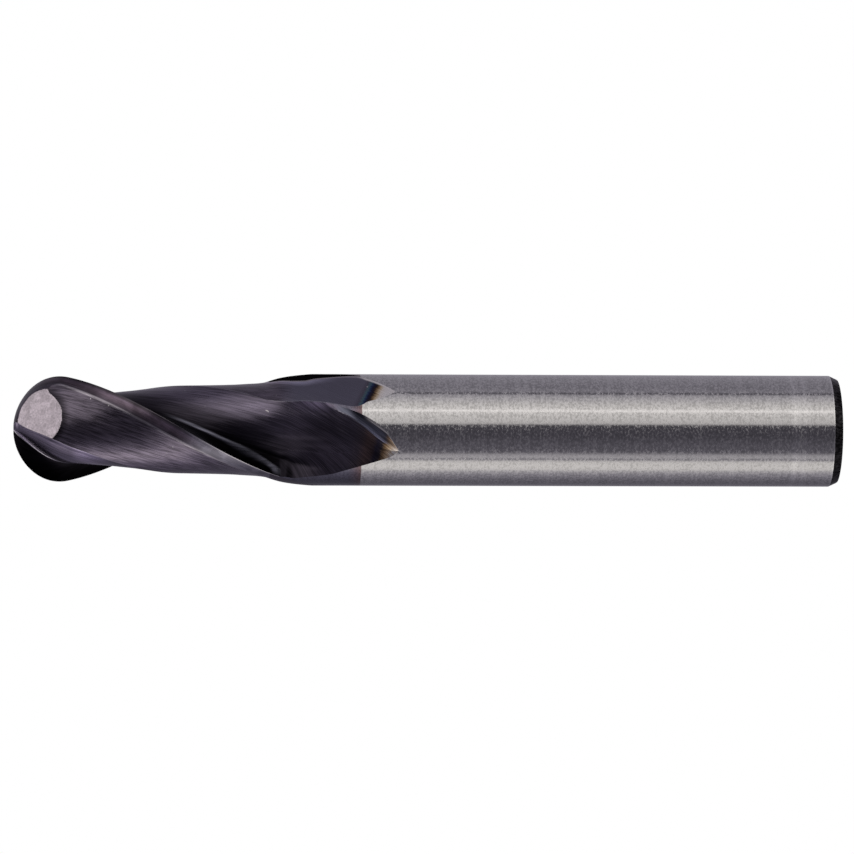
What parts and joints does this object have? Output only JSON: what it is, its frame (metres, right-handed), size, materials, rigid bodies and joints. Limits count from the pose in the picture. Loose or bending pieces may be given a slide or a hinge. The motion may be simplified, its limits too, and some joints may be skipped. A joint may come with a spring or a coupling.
{
  "type": "ball-nose end mill",
  "caption": "Solid-carbide ball-nose end mill with twin right-hand helical flutes, dark coated cutting end and a plain bright ground cylindrical shank.",
  "frame": {"origin": "centre of the shank's flat rear end face", "axes": "+X along the tool axis, from the ball tip to the shank's rear end; the first cutting edge meets the tip 10 degrees behind +Z"},
  "size_m": [0.074, 0.01, 0.01],
  "materials": {
    "bare_carbide": "bare carbide, cylindrically ground, fine circumferential grain",
    "runout_coating": "dark nitride coating that fades through straw and blue to bare carbide in the run-outs",
    "flute_coating": "dark purple-grey nitride coating over grinding marks",
    "ball_coating": "dark purple-grey nitride coating with a bright flat facet",
    "carbide_web": "sintered carbide, inside the tool"
  },
  "bodies": {
    "root": {"shank": "bare_carbide", "runout_neck": "runout_coating", "flute_web": "carbide_web", "flute_tooth_a": "flute_coating", "flute_tooth_b": "flute_coating", "ball_web": "carbide_web", "ball_tooth_a": "ball_coating", "ball_tooth_b": "ball_coating"}
  },
  "joints": []
}
